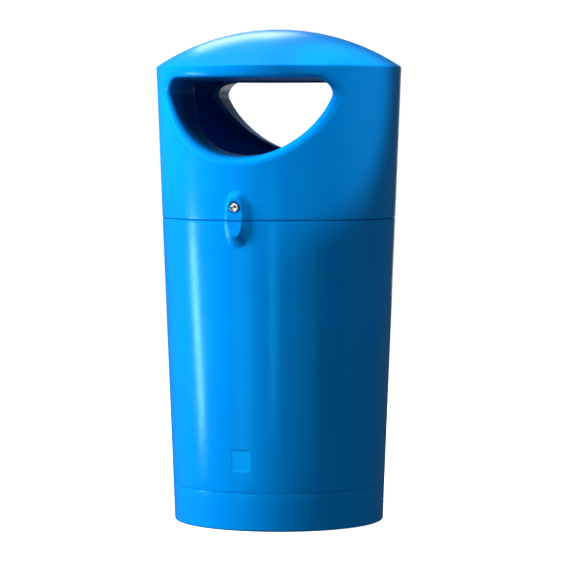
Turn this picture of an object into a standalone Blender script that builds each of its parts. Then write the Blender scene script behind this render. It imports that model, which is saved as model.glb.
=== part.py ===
"""Hooded outdoor litter bin: a rotomoulded body on a ballasted plinth, a domed hood with a posting
aperture front and back that hinges open at the rear, a triangular-key cam lock, and a lift-out
galvanised liner with two bail handles.

Frame: metres, +Z up, origin on the ground at the centre of the plinth, front facing -Y.
"""

import math

import bmesh
import bpy
from mathutils import Matrix, Vector

# ---- driving dimensions -------------------------------------------------------------------------
BRIM_RADIUS = 0.2552       # widest radius, where the dome meets the hood wall
BRIM_Z = 0.945
TAPER = 0.039              # radius lost per metre of height, the same on all three mouldings
DOME_RISE = 0.0776
BRIM_FILLET = 0.005
WALL = 0.006               # wall of the polyethylene mouldings
GAP = 0.0003               # clearance between pieces that touch

SEAM_Z = 0.6316            # joint between the body and the hood
PLINTH_TOP = 0.0784        # joint between the plinth and the body
FLOOR = 0.007              # floor of the body
PLINTH_FLOOR = 0.014
SPIGOT_OUTER, SPIGOT_INNER, SPIGOT_TOP = 0.2355, 0.2315, 0.645
SPIGOT_FOOT = 0.612        # where the spigot starts to lean out to the body's wall
DRAIN_RADIUS = 0.020       # drain hole in the body's floor

# aperture outlines in front view: circle centre height, circle radius, height of the flat top,
# radius of the two upper corners
CREASE = (0.9590, 0.2139, 0.9330, 0.045)     # where the lip leaves the outer wall
EDGE = (0.9430, 0.1838, 0.9215, 0.030)       # foot of the lip, EDGE_DEPTH inside the wall
THROAT = (0.9340, 0.1700, 0.9138, 0.024)     # inner end of the chute
EDGE_DEPTH = 0.012
THROAT_RADIUS = 0.177      # distance of the chute's inner end from the bin's axis

PAD_FACE_Y = 0.2575        # flat faces of the front lock pad and the rear hinge pad
LOCK_PAD = {"base": (0.0285, 0.0602, 0.634), "face": (0.0158, 0.0390, 0.641), "power": 2.5}
HINGE_PAD = {"base": (0.0600, 0.0592, 0.637), "face": (0.0500, 0.0440, 0.637), "power": 5.0}
LABEL_RECESS = (0.0210, 0.0230, 0.1440, 0.0018)   # half width, half height, centre height, depth

LOCK_Z = 0.6602
LOCK_HEAD_RADIUS, LOCK_BODY_RADIUS = 0.0097, 0.0080
LOCK_HEAD_Y, LOCK_END_Y = 0.2605, 0.2276          # distances in front of the axis
LOCK_SEAT_RADIUS, LOCK_SEAT_DEPTH = 0.0125, 0.005
LOCK_SOCKET_RADIUS, LOCK_SOCKET_DEPTH = 0.0064, 0.004
CAM_Y, CAM_THICKNESS, CAM_REACH, CAM_WIDTH = 0.2270, 0.0025, 0.038, 0.016
SPINDLE_RADIUS, POST_RADIUS = 0.0045, 0.0040
STRIKE_Y, STRIKE_THICKNESS = 0.2302, 0.0024
STRIKE_SCREWS = ((-0.011, 0.6155), (0.011, 0.6155))

HINGE_RADIUS = 0.0045
HINGE_Y = PAD_FACE_Y + GAP + HINGE_RADIUS
HINGE_LEAF = 0.0025
HINGE_HALF = 0.046
HINGE_CENTRE_HALF = 0.0160                        # half length of the hood's middle knuckle
HINGE_PIN_RADIUS, HINGE_BORE = 0.0021, 0.0024
HINGE_SCREW_X, HINGE_SCREW_DROP = 0.031, 0.016

LINER_BASE = (0.182, 0.0862)                      # radius and height
LINER_RIM = (0.200, 0.610)
LINER_WALL, LINER_FLOOR_RAISE, BEAD = 0.002, 0.010, 0.005
HANDLE_WIRE, HANDLE_DROP, HANDLE_BEND = 0.0028, 0.080, 0.010
HANDLE_PLANE_X, HANDLE_Z, HANDLE_HALF = 0.1790, 0.590, 0.036
EAR_ANGLE = math.radians(13.6)
RIVET, RIVET_HOLE = 0.0017, 0.0021

BOLT_RING, BOLT_COUNT = 0.199, 4
BALLAST_THICKNESS, BALLAST_HOLE = 0.022, 0.030

SHELL_SEGMENTS, INNER_SEGMENTS, SMALL_SEGMENTS = 64, 40, 12
SLOPE = math.sqrt(1.0 + TAPER ** 2)
HOOD_BOTTOM, BODY_TOP = SEAM_Z + GAP / 2, SEAM_Z - GAP / 2

# colour, roughness, metallic
MATERIALS = {
    "hood_plastic": ((0.000, 0.270, 0.760), 0.42, 0.0),
    "body_plastic": ((0.000, 0.250, 0.720), 0.28, 0.0),
    "galvanised": ((0.560, 0.580, 0.600), 0.45, 1.0),
    "stainless": ((0.620, 0.620, 0.610), 0.30, 1.0),
    "chrome": ((0.800, 0.800, 0.810), 0.10, 1.0),
    "zinc": ((0.640, 0.640, 0.600), 0.40, 1.0),
    "cast_iron": ((0.060, 0.060, 0.065), 0.70, 0.6),
}


# ---- mesh helpers -------------------------------------------------------------------------------
def wall_radius(z):
    """Outer radius of the tapered wall at height z."""
    return BRIM_RADIUS - TAPER * (BRIM_Z - z)


def material(name):
    """The named Principled material, made on first use."""
    found = bpy.data.materials.get(name)
    if found:
        return found
    colour, roughness, metallic = MATERIALS[name]
    made = bpy.data.materials.new(name)
    made.use_nodes = True
    shader = made.node_tree.nodes["Principled BSDF"]
    shader.inputs["Base Color"].default_value = (*colour, 1.0)
    shader.inputs["Roughness"].default_value = roughness
    shader.inputs["Metallic"].default_value = metallic
    return made


def finish(name, bm, slot=None):
    """Turn a bmesh into an object: a node with a material, or a hidden helper where slot is None."""
    bmesh.ops.recalc_face_normals(bm, faces=bm.faces)
    mesh = bpy.data.meshes.new(name)
    bm.to_mesh(mesh)
    bm.free()
    obj = bpy.data.objects.new(name, mesh)
    bpy.context.scene.collection.objects.link(obj)
    if slot:
        mesh.materials.append(material(slot))
    else:
        obj.hide_render = True
        obj.display_type = "WIRE"
    mesh.shade_smooth()
    mesh.set_sharp_from_angle(angle=math.radians(35))
    return obj


def loft(bm, rings):
    """Join rings of points into one closed skin; a ring of one point closes an end."""
    made = [[bm.verts.new(point) for point in ring] for ring in rings]
    for low, high in zip(made, made[1:]):
        count = max(len(low), len(high))
        for i in range(count):
            j = (i + 1) % count
            if len(low) == 1:
                bm.faces.new((low[0], high[i], high[j]))
            elif len(high) == 1:
                bm.faces.new((low[i], low[j], high[0]))
            else:
                bm.faces.new((low[i], low[j], high[j], high[i]))
    return made


def turned(profile, segments, closed=False):
    """A bmesh turned about Z from (radius, z) points; a point on the axis becomes a pole."""
    bm = bmesh.new()
    rings = []
    for radius, z in profile:
        if radius < 1e-9:
            rings.append([(0.0, 0.0, z)])
            continue
        turns = (2 * math.pi * i / segments for i in range(segments))
        rings.append([(radius * math.cos(a), radius * math.sin(a), z) for a in turns])
    made = loft(bm, rings)
    if closed:
        for i in range(segments):
            j = (i + 1) % segments
            bm.faces.new((made[-1][i], made[-1][j], made[0][j], made[0][i]))
    return bm


def prism(outline, start, end, place):
    """A bmesh extruded from a flat outline; place(u, v, w) gives the point at depth w."""
    bm = bmesh.new()
    low = [bm.verts.new(place(u, v, start)) for u, v in outline]
    high = [bm.verts.new(place(u, v, end)) for u, v in outline]
    bm.faces.new(low)
    bm.faces.new(high)
    for i in range(len(outline)):
        j = (i + 1) % len(outline)
        bm.faces.new((low[i], low[j], high[j], high[i]))
    return bm


def add_box(bm, low, high):
    """Add a box between two corners."""
    centre = (Vector(low) + Vector(high)) / 2
    size = Vector(high) - Vector(low)
    where = Matrix.Translation(centre) @ Matrix.Diagonal((*size, 1.0))
    bmesh.ops.create_cube(bm, size=1.0, matrix=where)


def add_rod(bm, start, end, radius, segments=SMALL_SEGMENTS):
    """Add a closed cylinder between two points."""
    start, end = Vector(start), Vector(end)
    turn = (end - start).to_track_quat("Z", "Y").to_matrix().to_4x4()
    where = Matrix.Translation((start + end) / 2) @ turn
    bmesh.ops.create_cone(bm, cap_ends=True, segments=segments, radius1=radius, radius2=radius,
                          depth=(end - start).length, matrix=where)


def rod_mesh(start, end, radius):
    """A bmesh holding one cylinder."""
    bm = bmesh.new()
    add_rod(bm, start, end, radius)
    return bm


def rods(name, spans, radius, segments=SMALL_SEGMENTS):
    """A hidden helper of several cylinders, one for each (start, end)."""
    bm = bmesh.new()
    for start, end in spans:
        add_rod(bm, start, end, radius, segments)
    return finish(name, bm)


def combine(obj, operation, tool):
    """Add a boolean modifier; the helper moves with the piece it shapes."""
    tool.parent = obj
    modifier = obj.modifiers.new(f"{operation.lower()}_{tool.name}", "BOOLEAN")
    modifier.operation = operation
    modifier.solver = "EXACT"
    modifier.object = tool


def pivot(name, location, parent=None):
    """An empty on a joint's axis."""
    empty = bpy.data.objects.new(name, None)
    bpy.context.scene.collection.objects.link(empty)
    empty.location = location
    empty.empty_display_size = 0.05
    if parent:
        attach(empty, parent)
    return empty


def attach(obj, axis):
    """Parent a piece, or another pivot, to a pivot and leave it where it is."""
    offset = Vector(axis.location)
    obj.parent = axis
    obj.matrix_parent_inverse = Matrix.Translation(-offset)


def arc(centre_u, centre_v, radius, start, end, steps):
    """Points along an arc, both ends included."""
    angles = (start + (end - start) * i / steps for i in range(steps + 1))
    return [(centre_u + radius * math.cos(a), centre_v + radius * math.sin(a)) for a in angles]


def turned_piece(name, slot, profile, origin, direction, segments=SMALL_SEGMENTS):
    """A turned fastener or round piece: profile along its own axis, placed along direction."""
    bm = turned(profile, segments)
    turn = Vector(direction).to_track_quat("Z", "Y").to_matrix().to_4x4()
    obj = finish(name, bm, slot)
    obj.matrix_world = Matrix.Translation(origin) @ turn
    return obj


def hex_nut(name, corner_radius, bore_radius, start, end):
    """A hexagon nut with a round bore, between two points."""
    bm = bmesh.new()
    add_rod(bm, start, end, corner_radius, 6)
    nut = finish(name, bm, "zinc")
    start, end = Vector(start), Vector(end)
    reach = (end - start) * 0.5
    bore = rods(f"cut_{name}", [(start - reach, end + reach)], bore_radius)
    combine(nut, "DIFFERENCE", bore)
    return nut


# ---- outlines -----------------------------------------------------------------------------------
def bell(inset, dome_steps, fillet_steps):
    """Hood profile from the dome's pole down to the seam, inset from the outer skin."""
    dome_radius = (BRIM_RADIUS ** 2 + DOME_RISE ** 2) / (2 * DOME_RISE)
    dome_z = BRIM_Z + DOME_RISE - dome_radius
    radius = dome_radius - inset
    fillet = max(BRIM_FILLET - inset, 0.003)
    # the fillet's centre is one fillet radius inside both the dome and the wall
    wall_at_zero = wall_radius(0.0) - (inset + fillet) * SLOPE
    a = 1.0 + TAPER ** 2
    b = 2 * (TAPER * wall_at_zero - dome_z)
    c = wall_at_zero ** 2 + dome_z ** 2 - (radius - fillet) ** 2
    centre_z = (-b + math.sqrt(b * b - 4 * a * c)) / (2 * a)
    centre_r = wall_at_zero + TAPER * centre_z
    lean = math.atan2(centre_z - dome_z, centre_r)
    points = [(0.0, dome_z + radius)]
    points += arc(0.0, dome_z, radius, math.pi / 2, lean, dome_steps)[1:-1]
    points += arc(centre_r, centre_z, fillet, lean, -math.atan(TAPER), fillet_steps)
    return points


def segment_outline(centre_z, radius, top_z, corner, grow=0.0, steps=(21, 4, 7)):
    """Aperture outline (x, z): an arc below, two rounded corners and a flat top."""
    bottom_steps, corner_steps, top_steps = steps
    corner_z = top_z - corner
    corner_x = math.sqrt((radius - corner) ** 2 - (corner_z - centre_z) ** 2)
    lean = math.atan2(corner_z - centre_z, corner_x)
    points = arc(0.0, centre_z, radius + grow, -math.pi - lean, lean, bottom_steps)
    points += arc(corner_x, corner_z, corner + grow, lean, math.pi / 2, corner_steps)[1:]
    for i in range(1, top_steps):
        points.append((corner_x * (1 - 2 * i / top_steps), top_z + grow))
    points += arc(-corner_x, corner_z, corner + grow, math.pi / 2, math.pi - lean, corner_steps)[:-1]
    return points


def on_wall(outline, depth, side):
    """Put an (x, z) outline on the tapered wall, depth inside it; side is -1 front, +1 rear."""
    ring = []
    for x, z in outline:
        radius = wall_radius(z) - depth
        ring.append((x, side * math.sqrt(radius ** 2 - x ** 2), z))
    return ring


def at_throat(outline, side, beyond=0.0):
    """Put an (x, z) outline on the upright cylinder where a chute ends, or beyond it inwards."""
    return [(x, side * (math.sqrt(THROAT_RADIUS ** 2 - x ** 2) - beyond), z) for x, z in outline]


def shrunk(outline, factor, centre_z):
    """The outline drawn towards (0, centre_z)."""
    return [(x * factor, centre_z + (z - centre_z) * factor) for x, z in outline]


def capped(outline, place, centre_z):
    """Rings that close an outline along a curved surface, from its middle out to the outline."""
    rings = [place([(0.0, centre_z)])]
    rings += [place(shrunk(outline, factor, centre_z)) for factor in (0.35, 0.7, 1.0)]
    return rings


def chute(name, side, grow, outer_depth, beyond, mouth):
    """The solid inside (or around) one aperture, as a hidden helper."""
    middle = 0.86
    edge = segment_outline(*EDGE, grow=grow)
    throat = segment_outline(*THROAT, grow=grow)
    rings = capped(mouth, lambda o: on_wall(o, outer_depth, side), middle)
    rings.append(on_wall(edge, EDGE_DEPTH + 0.5 * grow, side))
    rings.append(at_throat(throat, side))
    if beyond:
        rings.append(at_throat(throat, side, beyond))
    rings += capped(throat, lambda o: at_throat(o, side, beyond), middle)[-2::-1]
    bm = bmesh.new()
    loft(bm, rings)
    bmesh.ops.triangulate(bm, faces=bm.faces)
    return finish(name, bm)


def rounded_loop(half_width, half_height, centre_z, power, steps=32):
    """A superellipse outline (x, z)."""
    points = []
    for i in range(steps):
        c, s = math.cos(2 * math.pi * i / steps), math.sin(2 * math.pi * i / steps)
        points.append((half_width * math.copysign(abs(c) ** (2 / power), c),
                       centre_z + half_height * math.copysign(abs(s) ** (2 / power), s)))
    return points


def pad(name, side, shape):
    """A raised pad that stands out of the wall to a flat face."""
    base = rounded_loop(*shape["base"], shape["power"])
    face = rounded_loop(*shape["face"], shape["power"])
    rings = capped(base, lambda o: on_wall(o, WALL / 2, side), shape["base"][2])
    rings.append([(x, side * PAD_FACE_Y, z) for x, z in face])
    rings.append([(0.0, side * PAD_FACE_Y, shape["face"][2])])
    bm = bmesh.new()
    loft(bm, rings)
    return finish(name, bm)


def ring_tool(name, inner, outer, low, high):
    """A hidden helper: a square-section ring."""
    profile = [(inner, low), (outer, low), (outer, high), (inner, high)]
    return finish(name, turned(profile, SHELL_SEGMENTS, closed=True))


# ---- base: plinth, ballast, body ----------------------------------------------------------------
def bolt_places():
    """Centres of the plinth bolts, as (x, y)."""
    turns = (2 * math.pi * (i + 0.5) / BOLT_COUNT for i in range(BOLT_COUNT))
    return [(BOLT_RING * math.cos(a), BOLT_RING * math.sin(a)) for a in turns]


def make_plinth():
    """The plinth tray, counterbored from below for the bolts."""
    top = PLINTH_TOP - GAP / 2
    foot = 0.004
    outer = [(0.0, 0.0), (wall_radius(0.0) - foot, 0.0), (wall_radius(foot), foot),
             (wall_radius(top), top)]
    inner = [(wall_radius(top) - WALL, top), (wall_radius(PLINTH_FLOOR) - WALL, PLINTH_FLOOR),
             (0.0, PLINTH_FLOOR)]
    plinth = finish("base_plinth", turned(outer + inner, SHELL_SEGMENTS), "body_plastic")
    heads = [((x, y, -0.01), (x, y, 0.009)) for x, y in bolt_places()]
    combine(plinth, "DIFFERENCE", rods("cut_plinth_heads", heads, 0.0098))
    shanks = [((x, y, 0.005), (x, y, 0.020)) for x, y in bolt_places()]
    combine(plinth, "DIFFERENCE", rods("cut_plinth_shanks", shanks, 0.0052))


def make_ballast():
    """The cast ballast plate that lies in the plinth."""
    low = PLINTH_FLOOR + GAP
    high = low + BALLAST_THICKNESS
    outer = wall_radius(low) - WALL - 0.001
    profile = [(BALLAST_HOLE, low), (outer, low), (outer, high), (BALLAST_HOLE, high)]
    ballast = finish("ballast_plate", turned(profile, INNER_SEGMENTS, closed=True), "cast_iron")
    spans = [((x, y, low - 0.01), (x, y, high + 0.01)) for x, y in bolt_places()]
    combine(ballast, "DIFFERENCE", rods("cut_ballast_bolts", spans, 0.0055))


def make_plinth_bolts():
    """Bolts from under the plinth through the ballast and the body's floor, each with its nut."""
    floor_top = PLINTH_TOP + GAP / 2 + FLOOR
    length = floor_top + 0.013
    bolt = [(0.0, 0.0026), (0.0085, 0.0026), (0.0085, 0.0087), (0.0049, 0.0087),
            (0.0049, length), (0.0, length)]
    for i, (x, y) in enumerate(bolt_places(), 1):
        turned_piece(f"plinth_bolt_{i}", "zinc", bolt, (x, y, 0.0), (0, 0, 1))
        seat = floor_top + GAP
        hex_nut(f"plinth_nut_{i}", 0.0090, 0.0053, (x, y, seat), (x, y, seat + 0.0080))


def make_body():
    """The tapered body with its floor, the spigot that guides the hood, and both lower pads."""
    low = PLINTH_TOP + GAP / 2
    over = SEAM_Z + 0.004           # the wall runs past the seam here and is trimmed at it below
    lean = SPIGOT_FOOT - 0.012
    outer = [(DRAIN_RADIUS, low), (wall_radius(low), low), (wall_radius(SEAM_Z), over),
             (SPIGOT_OUTER + 0.002, over), (SPIGOT_OUTER, over), (SPIGOT_OUTER, SPIGOT_TOP)]
    inner = [(SPIGOT_INNER, SPIGOT_TOP), (SPIGOT_INNER, SPIGOT_FOOT),
             (wall_radius(lean) - WALL, lean), (wall_radius(low + FLOOR) - WALL, low + FLOOR),
             (DRAIN_RADIUS, low + FLOOR)]
    body = finish("body_shell", turned(outer + inner, SHELL_SEGMENTS, closed=True), "body_plastic")
    combine(body, "UNION", pad("lock_pad_lower", -1, LOCK_PAD))
    combine(body, "UNION", pad("hinge_pad_lower", 1, HINGE_PAD))
    trim = ring_tool("cut_above_body", SPIGOT_OUTER, 0.300, BODY_TOP, 0.720)
    combine(body, "DIFFERENCE", trim)

    half_width, half_height, centre_z, depth = LABEL_RECESS
    outline = rounded_loop(half_width, half_height, 0.0, 9.0, steps=24)
    slope_y = wall_radius(centre_z) - depth

    def in_recess(u, v, w):
        return (u, -(slope_y + TAPER * v + w), centre_z + v)

    combine(body, "DIFFERENCE", finish("cut_label_recess", prism(outline, 0.0, 0.02, in_recess)))
    spans = [((x, y, 0.06), (x, y, 0.10)) for x, y in bolt_places()]
    combine(body, "DIFFERENCE", rods("cut_floor_bolts", spans, 0.0053))
    spans = [((x, -0.2280, z), (x, -0.2460, z)) for x, z in STRIKE_SCREWS]
    combine(body, "DIFFERENCE", rods("cut_strike_screws", spans, 0.0023, 12))
    combine(body, "DIFFERENCE", hinge_screw_holes("cut_hinge_body_holes", -1))


# ---- hood ---------------------------------------------------------------------------------------
def make_hood(hood_axis):
    """The domed hood: tapered wall, two chutes, the upper halves of both pads."""
    below = SEAM_Z - 0.004
    outer = bell(0.0, 6, 2) + [(wall_radius(below), below)]
    inner = bell(WALL, 3, 1) + [(wall_radius(below) - WALL, below)]
    hood = finish("hood_shell", turned(outer + inner[::-1], SHELL_SEGMENTS), "hood_plastic")
    combine(hood, "UNION", pad("lock_pad_upper", -1, LOCK_PAD))
    combine(hood, "UNION", pad("hinge_pad_upper", 1, HINGE_PAD))
    # the cutter's mouth carries the lip on outwards, from its foot past the crease
    out = 0.010
    stretch = 1 + out / EDGE_DEPTH
    edge, crease = segment_outline(*EDGE), segment_outline(*CREASE)
    mouth = [(ex + (cx - ex) * stretch, ez + (cz - ez) * stretch)
             for (ex, ez), (cx, cz) in zip(edge, crease)]
    around = segment_outline(*CREASE, grow=0.002)
    for side, place in ((-1, "front"), (1, "rear")):
        combine(hood, "UNION", chute(f"{place}_chute_wall", side, WALL, WALL / 2, 0.0, around))
    for side, place in ((-1, "front"), (1, "rear")):
        combine(hood, "DIFFERENCE",
                chute(f"cut_{place}_chute", side, 0.0, -out, 0.020, mouth))
    combine(hood, "DIFFERENCE", ring_tool("cut_below_hood", 0.150, 0.300, 0.560, HOOD_BOTTOM))
    bore = [((0, -0.230, LOCK_Z), (0, -0.270, LOCK_Z))]
    combine(hood, "DIFFERENCE", rods("cut_lock_bore", bore, LOCK_BODY_RADIUS + GAP, 24))
    seat = [((0, -(PAD_FACE_Y - LOCK_SEAT_DEPTH), LOCK_Z), (0, -0.270, LOCK_Z))]
    combine(hood, "DIFFERENCE", rods("cut_lock_seat", seat, LOCK_SEAT_RADIUS, 24))
    combine(hood, "DIFFERENCE", hinge_screw_holes("cut_hinge_hood_holes", 1))
    attach(hood, hood_axis)


# ---- hinge --------------------------------------------------------------------------------------
def hinge_screw_spots(side):
    """Hinge screw centres (x, z): side -1 is the body's leaf, +1 the hood's."""
    z = SEAM_Z + side * HINGE_SCREW_DROP
    return [(-HINGE_SCREW_X, z), (HINGE_SCREW_X, z)]


def hinge_screw_holes(name, side):
    """Holes for the hinge screws through a leaf and into the pad behind it."""
    spans = [((x, 0.2440, z), (x, 0.2700, z)) for x, z in hinge_screw_spots(side)]
    return rods(name, spans, 0.0028, 12)


def make_hinge_leaf(name, side, knuckles):
    """One hinge leaf: a plate with rolled knuckles at the given x spans."""
    near = PAD_FACE_Y + GAP
    far = near + HINGE_LEAF
    clear = SEAM_Z + side * (HINGE_RADIUS + 0.0008)
    end = SEAM_Z + side * 0.0270
    bm = bmesh.new()
    add_box(bm, (-HINGE_HALF, near, min(clear, end)), (HINGE_HALF, far, max(clear, end)))
    leaf = finish(name, bm, "stainless")
    # the roll: up the pad's face, round the pin and back to the leaf's outer face
    foot = 0.008
    lean = math.acos((far - HINGE_Y) / HINGE_RADIUS)
    outline = [(near, foot)] + arc(HINGE_Y, 0.0, HINGE_RADIUS, -math.pi, lean, 14) + [(far, foot)]
    outline = [(y, side * z) for y, z in outline]
    for i, (x0, x1) in enumerate(knuckles):
        roll = finish(f"{name}_roll_{i}", prism(outline, x0, x1, lambda u, v, w: (w, u, SEAM_Z + v)))
        combine(leaf, "UNION", roll)
    bore = [((-0.06, HINGE_Y, SEAM_Z), (0.06, HINGE_Y, SEAM_Z))]
    combine(leaf, "DIFFERENCE", rods(f"{name}_bore", bore, HINGE_BORE, 12))
    combine(leaf, "DIFFERENCE", hinge_screw_holes(f"{name}_screw_holes", side))
    return leaf


def make_hinge(hood_axis):
    """Both leaves, the pin and the four screws."""
    inner, outer = HINGE_CENTRE_HALF + 0.0005, HINGE_HALF
    make_hinge_leaf("hinge_leaf_body", -1, [(-outer, -inner), (inner, outer)])
    centre = [(-HINGE_CENTRE_HALF, HINGE_CENTRE_HALF)]
    attach(make_hinge_leaf("hinge_leaf_hood", 1, centre), hood_axis)
    end, head = HINGE_HALF + 0.0015, 0.0035
    shoulder = HINGE_HALF + GAP
    pin = [(0.0, -end), (head, -end), (head, -shoulder), (HINGE_PIN_RADIUS, -shoulder),
           (HINGE_PIN_RADIUS, shoulder), (head, shoulder), (head, end), (0.0, end)]
    turned_piece("hinge_pin", "stainless", pin, (0, HINGE_Y, SEAM_Z), (1, 0, 0))
    seat = PAD_FACE_Y + GAP + HINGE_LEAF + GAP
    for side, owner in ((-1, "body"), (1, "hood")):
        for i, (x, z) in enumerate(hinge_screw_spots(side), 1):
            profile = button_screw(0.0024, 0.0045, 0.0024, seat - 0.2455)
            name = f"hinge_{owner}_screw_{i}"
            screw = turned_piece(name, "stainless", profile, (x, seat, z), (0, 1, 0))
            if side > 0:
                attach(screw, hood_axis)


def button_screw(shank, head, height, length):
    """Profile of a domed screw whose head sits at z = 0 and whose shank runs down."""
    dome = [(head, 0.0), (head, 0.4 * height), (0.75 * head, 0.85 * height), (0.0, height)]
    return [(0.0, -length), (shank, -length), (shank, 0.0)] + dome


# ---- lock ---------------------------------------------------------------------------------------
def make_lock(hood_axis):
    """Cam lock: a headed barrel and nut in the hood, and the spindle, cam and screw that turn."""
    seat = PAD_FACE_Y - LOCK_SEAT_DEPTH + GAP
    bore, socket, socket_floor = SPINDLE_RADIUS + GAP, LOCK_SOCKET_RADIUS, LOCK_HEAD_Y - LOCK_SOCKET_DEPTH
    barrel = [(bore, -LOCK_END_Y), (LOCK_BODY_RADIUS, -LOCK_END_Y), (LOCK_BODY_RADIUS, -seat),
              (LOCK_HEAD_RADIUS, -seat), (LOCK_HEAD_RADIUS, -(LOCK_HEAD_Y - 0.001)),
              (LOCK_HEAD_RADIUS - 0.0012, -LOCK_HEAD_Y), (socket, -LOCK_HEAD_Y),
              (socket, -socket_floor), (bore, -socket_floor)]
    made = finish("lock_barrel", turned(barrel, 24, closed=True), "chrome")
    made.matrix_world = Matrix.Translation((0, 0, LOCK_Z)) @ Matrix.Rotation(-math.pi / 2, 4, "X")
    attach(made, hood_axis)

    inner = wall_radius(LOCK_Z) - WALL - 0.001
    nut = hex_nut("lock_nut", 0.0122, LOCK_BODY_RADIUS + GAP, (0, -inner, LOCK_Z),
                  (0, -(inner - 0.005), LOCK_Z))
    attach(nut, hood_axis)

    lock_axis = pivot("lock_axis", (0, -PAD_FACE_Y, LOCK_Z), hood_axis)

    # spindle: triangular key post in front, a round shaft, a square shank through the cam
    shaft_end, front = LOCK_END_Y, LOCK_HEAD_Y - 0.0045
    spindle = finish("lock_spindle", rod_mesh((0, -front, LOCK_Z), (0, -shaft_end, LOCK_Z),
                                              SPINDLE_RADIUS), "chrome")
    triangle = [(POST_RADIUS * math.cos(a), LOCK_Z + POST_RADIUS * math.sin(a))
                for a in (math.radians(d) for d in (90, 210, 330))]
    post = prism(triangle, front - 0.001, LOCK_HEAD_Y - 0.0008, lambda u, v, w: (u, -w, v))
    combine(spindle, "UNION", finish("spindle_post", post))
    bm = bmesh.new()
    half = 0.0030
    add_box(bm, (-half, -(shaft_end + 0.001), LOCK_Z - half),
            (half, -(CAM_Y - CAM_THICKNESS + 0.0002), LOCK_Z + half))
    combine(spindle, "UNION", finish("spindle_shank", bm))
    bore = [((0, -0.2200, LOCK_Z), (0, -(CAM_Y + 0.006), LOCK_Z))]
    combine(spindle, "DIFFERENCE", rods("cut_spindle_thread", bore, 0.0016, 12))
    attach(spindle, lock_axis)

    half = CAM_WIDTH / 2
    outline = arc(0.0, LOCK_Z, half + 0.001, math.pi / 3, math.pi * 5 / 3, 8)
    outline += arc(CAM_REACH - half, LOCK_Z, half, -math.pi / 2, math.pi / 2, 8)
    plate = prism(outline, CAM_Y - CAM_THICKNESS, CAM_Y, lambda u, v, w: (u, -w, v))
    cam = finish("lock_cam", plate, "zinc")
    bm = bmesh.new()
    add_box(bm, (-0.0033, -0.2400, LOCK_Z - 0.0033), (0.0033, -0.2200, LOCK_Z + 0.0033))
    combine(cam, "DIFFERENCE", finish("cut_cam_square", bm))
    attach(cam, lock_axis)

    screw = button_screw(0.0013, 0.0052, 0.0026, 0.0070)
    seat_y = -(CAM_Y - CAM_THICKNESS - GAP)
    attach(turned_piece("cam_screw", "zinc", screw, (0, seat_y, LOCK_Z), (0, 1, 0)), lock_axis)


def make_strike():
    """The keeper plate inside the spigot that the cam turns behind, and its two screws."""
    bm = bmesh.new()
    add_box(bm, (-0.0165, -STRIKE_Y, 0.6110), (0.0165, -(STRIKE_Y - STRIKE_THICKNESS), 0.6430))
    plate = finish("strike_plate", bm, "zinc")
    spans = [((x, -0.2200, z), (x, -0.2400, z)) for x, z in STRIKE_SCREWS]
    combine(plate, "DIFFERENCE", rods("cut_strike_holes", spans, 0.0023, 12))
    seat = -(STRIKE_Y - STRIKE_THICKNESS - GAP)
    for i, (x, z) in enumerate(STRIKE_SCREWS, 1):
        screw = button_screw(0.0020, 0.0038, 0.0018, 0.0160)
        turned_piece(f"strike_screw_{i}", "zinc", screw, (x, seat, z), (0, 1, 0))


# ---- liner --------------------------------------------------------------------------------------
def liner_radius(z):
    """Outer radius of the liner's wall."""
    base_r, base_z = LINER_BASE
    rim_r, rim_z = LINER_RIM
    return base_r + (rim_r - base_r) * (z - base_z) / (rim_z - base_z)


def ear_mounts():
    """For each ear: name, side of the bin (+1 right, -1 left) and its angle round the liner."""
    spots = []
    for side, word in ((1, "right"), (-1, "left")):
        for turn, place in ((-1, "front"), (1, "rear")):
            angle = turn * EAR_ANGLE if side > 0 else math.pi - turn * EAR_ANGLE
            spots.append((f"handle_ear_{word}_{place}", turn * side, angle))
    return spots


def make_liner():
    """The galvanised liner: raised floor, tapered wall, rolled rim, rivet holes for the ears."""
    base_r, base_z = LINER_BASE
    rim_r, rim_z = LINER_RIM
    floor = base_z + LINER_FLOOR_RAISE
    foot = base_r - LINER_WALL
    outer = [(0.0, floor), (liner_radius(floor) - LINER_WALL - 0.001, floor), (foot, base_z),
             (base_r, base_z), (liner_radius(rim_z - 2 * BEAD), rim_z - 2 * BEAD),
             (rim_r + BEAD, rim_z - 1.6 * BEAD), (rim_r + BEAD, rim_z - 0.4 * BEAD),
             (rim_r + 0.5 * BEAD, rim_z), (rim_r - LINER_WALL, rim_z)]
    inner = [(liner_radius(floor + LINER_WALL) - LINER_WALL, floor + LINER_WALL),
             (0.0, floor + LINER_WALL)]
    liner = finish("liner_bucket", turned(outer + inner, INNER_SEGMENTS), "galvanised")
    spans = [span for _, turn, angle in ear_mounts() for span in rivet_spans(turn, angle)]
    combine(liner, "DIFFERENCE", rods("cut_liner_rivets", spans, RIVET_HOLE, 8))


def ear_face():
    """Distance of the ears' mounting face from the axis."""
    return liner_radius(HANDLE_Z - 0.012) - LINER_WALL - 0.0020


def outward(angle):
    """Unit vector away from the axis."""
    return Vector((math.cos(angle), math.sin(angle), 0.0))


def rivet_points(turn, angle):
    """The two rivets of an ear, on its mounting face."""
    along = Vector((-math.sin(angle), math.cos(angle), 0.0)) * turn * 0.0115
    foot = outward(angle) * ear_face() + along
    return [foot + Vector((0.0, 0.0, HANDLE_Z + dz)) for dz in (-0.0135, 0.0065)]


def rivet_spans(turn, angle):
    """Through holes for the rivets of one ear."""
    away = outward(angle) * 0.02
    return [(point - away, point + away) for point in rivet_points(turn, angle)]


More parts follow.
